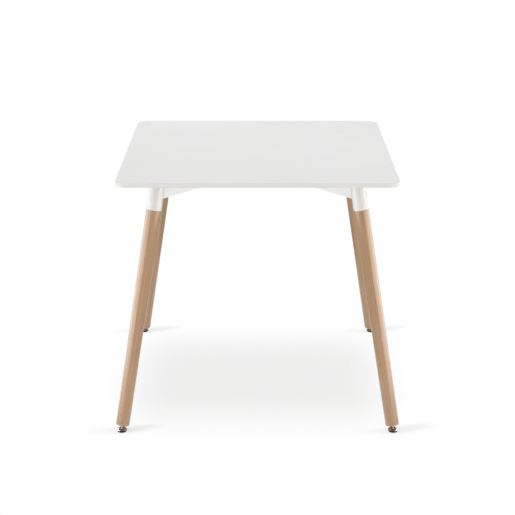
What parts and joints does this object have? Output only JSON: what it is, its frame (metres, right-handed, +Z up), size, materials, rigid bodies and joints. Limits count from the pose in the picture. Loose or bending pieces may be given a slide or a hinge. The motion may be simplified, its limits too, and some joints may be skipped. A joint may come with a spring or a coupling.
{
  "type": "dining table",
  "caption": "Square dining table: thin round-cornered top on a sheet-steel underframe with flared sockets, splayed tapered wooden legs and swivel levelling feet.",
  "frame": {"origin": "on the floor under the middle of the top", "axes": "+Z up, X and Y along the sides of the square top, -Y towards the front"},
  "size_m": [0.8376, 0.8376, 0.76],
  "materials": {
    "white_lacquer": "satin white lacquer on MDF",
    "white_powder_coat": "smooth white powder coat on sheet steel",
    "beech": "clear satin lacquer on turned beech",
    "zinc_steel": "zinc-plated steel",
    "bright_nickel": "bright nickel plate on pressed steel",
    "dark_plastic": "dark moulded plastic"
  },
  "bodies": {
    "table": {"table_top": "white_lacquer", "rail_front": "white_powder_coat", "rail_right": "white_powder_coat", "rail_back": "white_powder_coat", "rail_left": "white_powder_coat", "corner_plate_front_left": "white_powder_coat", "socket_front_left": "white_powder_coat", "leg_front_left": "beech", "corner_plate_front_right": "white_powder_coat", "socket_front_right": "white_powder_coat", "leg_front_right": "beech", "corner_plate_back_right": "white_powder_coat", "socket_back_right": "white_powder_coat", "leg_back_right": "beech", "corner_plate_back_left": "white_powder_coat", "socket_back_left": "white_powder_coat", "leg_back_left": "beech", "leg_studs": "zinc_steel", "socket_nuts": "zinc_steel", "foot_inserts": "zinc_steel", "rail_screws": "zinc_steel", "plate_screws": "zinc_steel"},
    "foot_stem_front_left": {"foot_stem_front_left": "zinc_steel"},
    "foot_stem_front_right": {"foot_stem_front_right": "zinc_steel"},
    "foot_stem_back_right": {"foot_stem_back_right": "zinc_steel"},
    "foot_stem_back_left": {"foot_stem_back_left": "zinc_steel"},
    "foot_front_left": {"foot_dome_front_left": "bright_nickel", "foot_pad_front_left": "dark_plastic"},
    "foot_front_right": {"foot_dome_front_right": "bright_nickel", "foot_pad_front_right": "dark_plastic"},
    "foot_back_right": {"foot_dome_back_right": "bright_nickel", "foot_pad_back_right": "dark_plastic"},
    "foot_back_left": {"foot_dome_back_left": "bright_nickel", "foot_pad_back_left": "dark_plastic"}
  },
  "joints": [
    {"name": "foot_adjust_front_left", "type": "slide", "parent": "table", "child": "foot_stem_front_left", "axis": [-0.155, -0.155, -0.9757], "range_m": [-0.0035, 0.012]},
    {"name": "foot_tilt_front_left", "type": "hinge", "parent": "foot_stem_front_left", "child": "foot_front_left", "pos_m": [-0.4015, -0.4015, 0.0065], "axis": [0.7071, -0.7071, 0], "range_deg": [-30.7, 5.3]},
    {"name": "foot_adjust_front_right", "type": "slide", "parent": "table", "child": "foot_stem_front_right", "axis": [0.155, -0.155, -0.9757], "range_m": [-0.0035, 0.012]},
    {"name": "foot_tilt_front_right", "type": "hinge", "parent": "foot_stem_front_right", "child": "foot_front_right", "pos_m": [0.4015, -0.4015, 0.0065], "axis": [0.7071, 0.7071, 0], "range_deg": [-30.7, 5.3]},
    {"name": "foot_adjust_back_right", "type": "slide", "parent": "table", "child": "foot_stem_back_right", "axis": [0.155, 0.155, -0.9757], "range_m": [-0.0035, 0.012]},
    {"name": "foot_tilt_back_right", "type": "hinge", "parent": "foot_stem_back_right", "child": "foot_back_right", "pos_m": [0.4015, 0.4015, 0.0065], "axis": [-0.7071, 0.7071, 0], "range_deg": [-30.7, 5.3]},
    {"name": "foot_adjust_back_left", "type": "slide", "parent": "table", "child": "foot_stem_back_left", "axis": [-0.155, 0.155, -0.9757], "range_m": [-0.0035, 0.012]},
    {"name": "foot_tilt_back_left", "type": "hinge", "parent": "foot_stem_back_left", "child": "foot_back_left", "pos_m": [-0.4015, 0.4015, 0.0065], "axis": [-0.7071, -0.7071, 0], "range_deg": [-30.7, 5.3]}
  ]
}
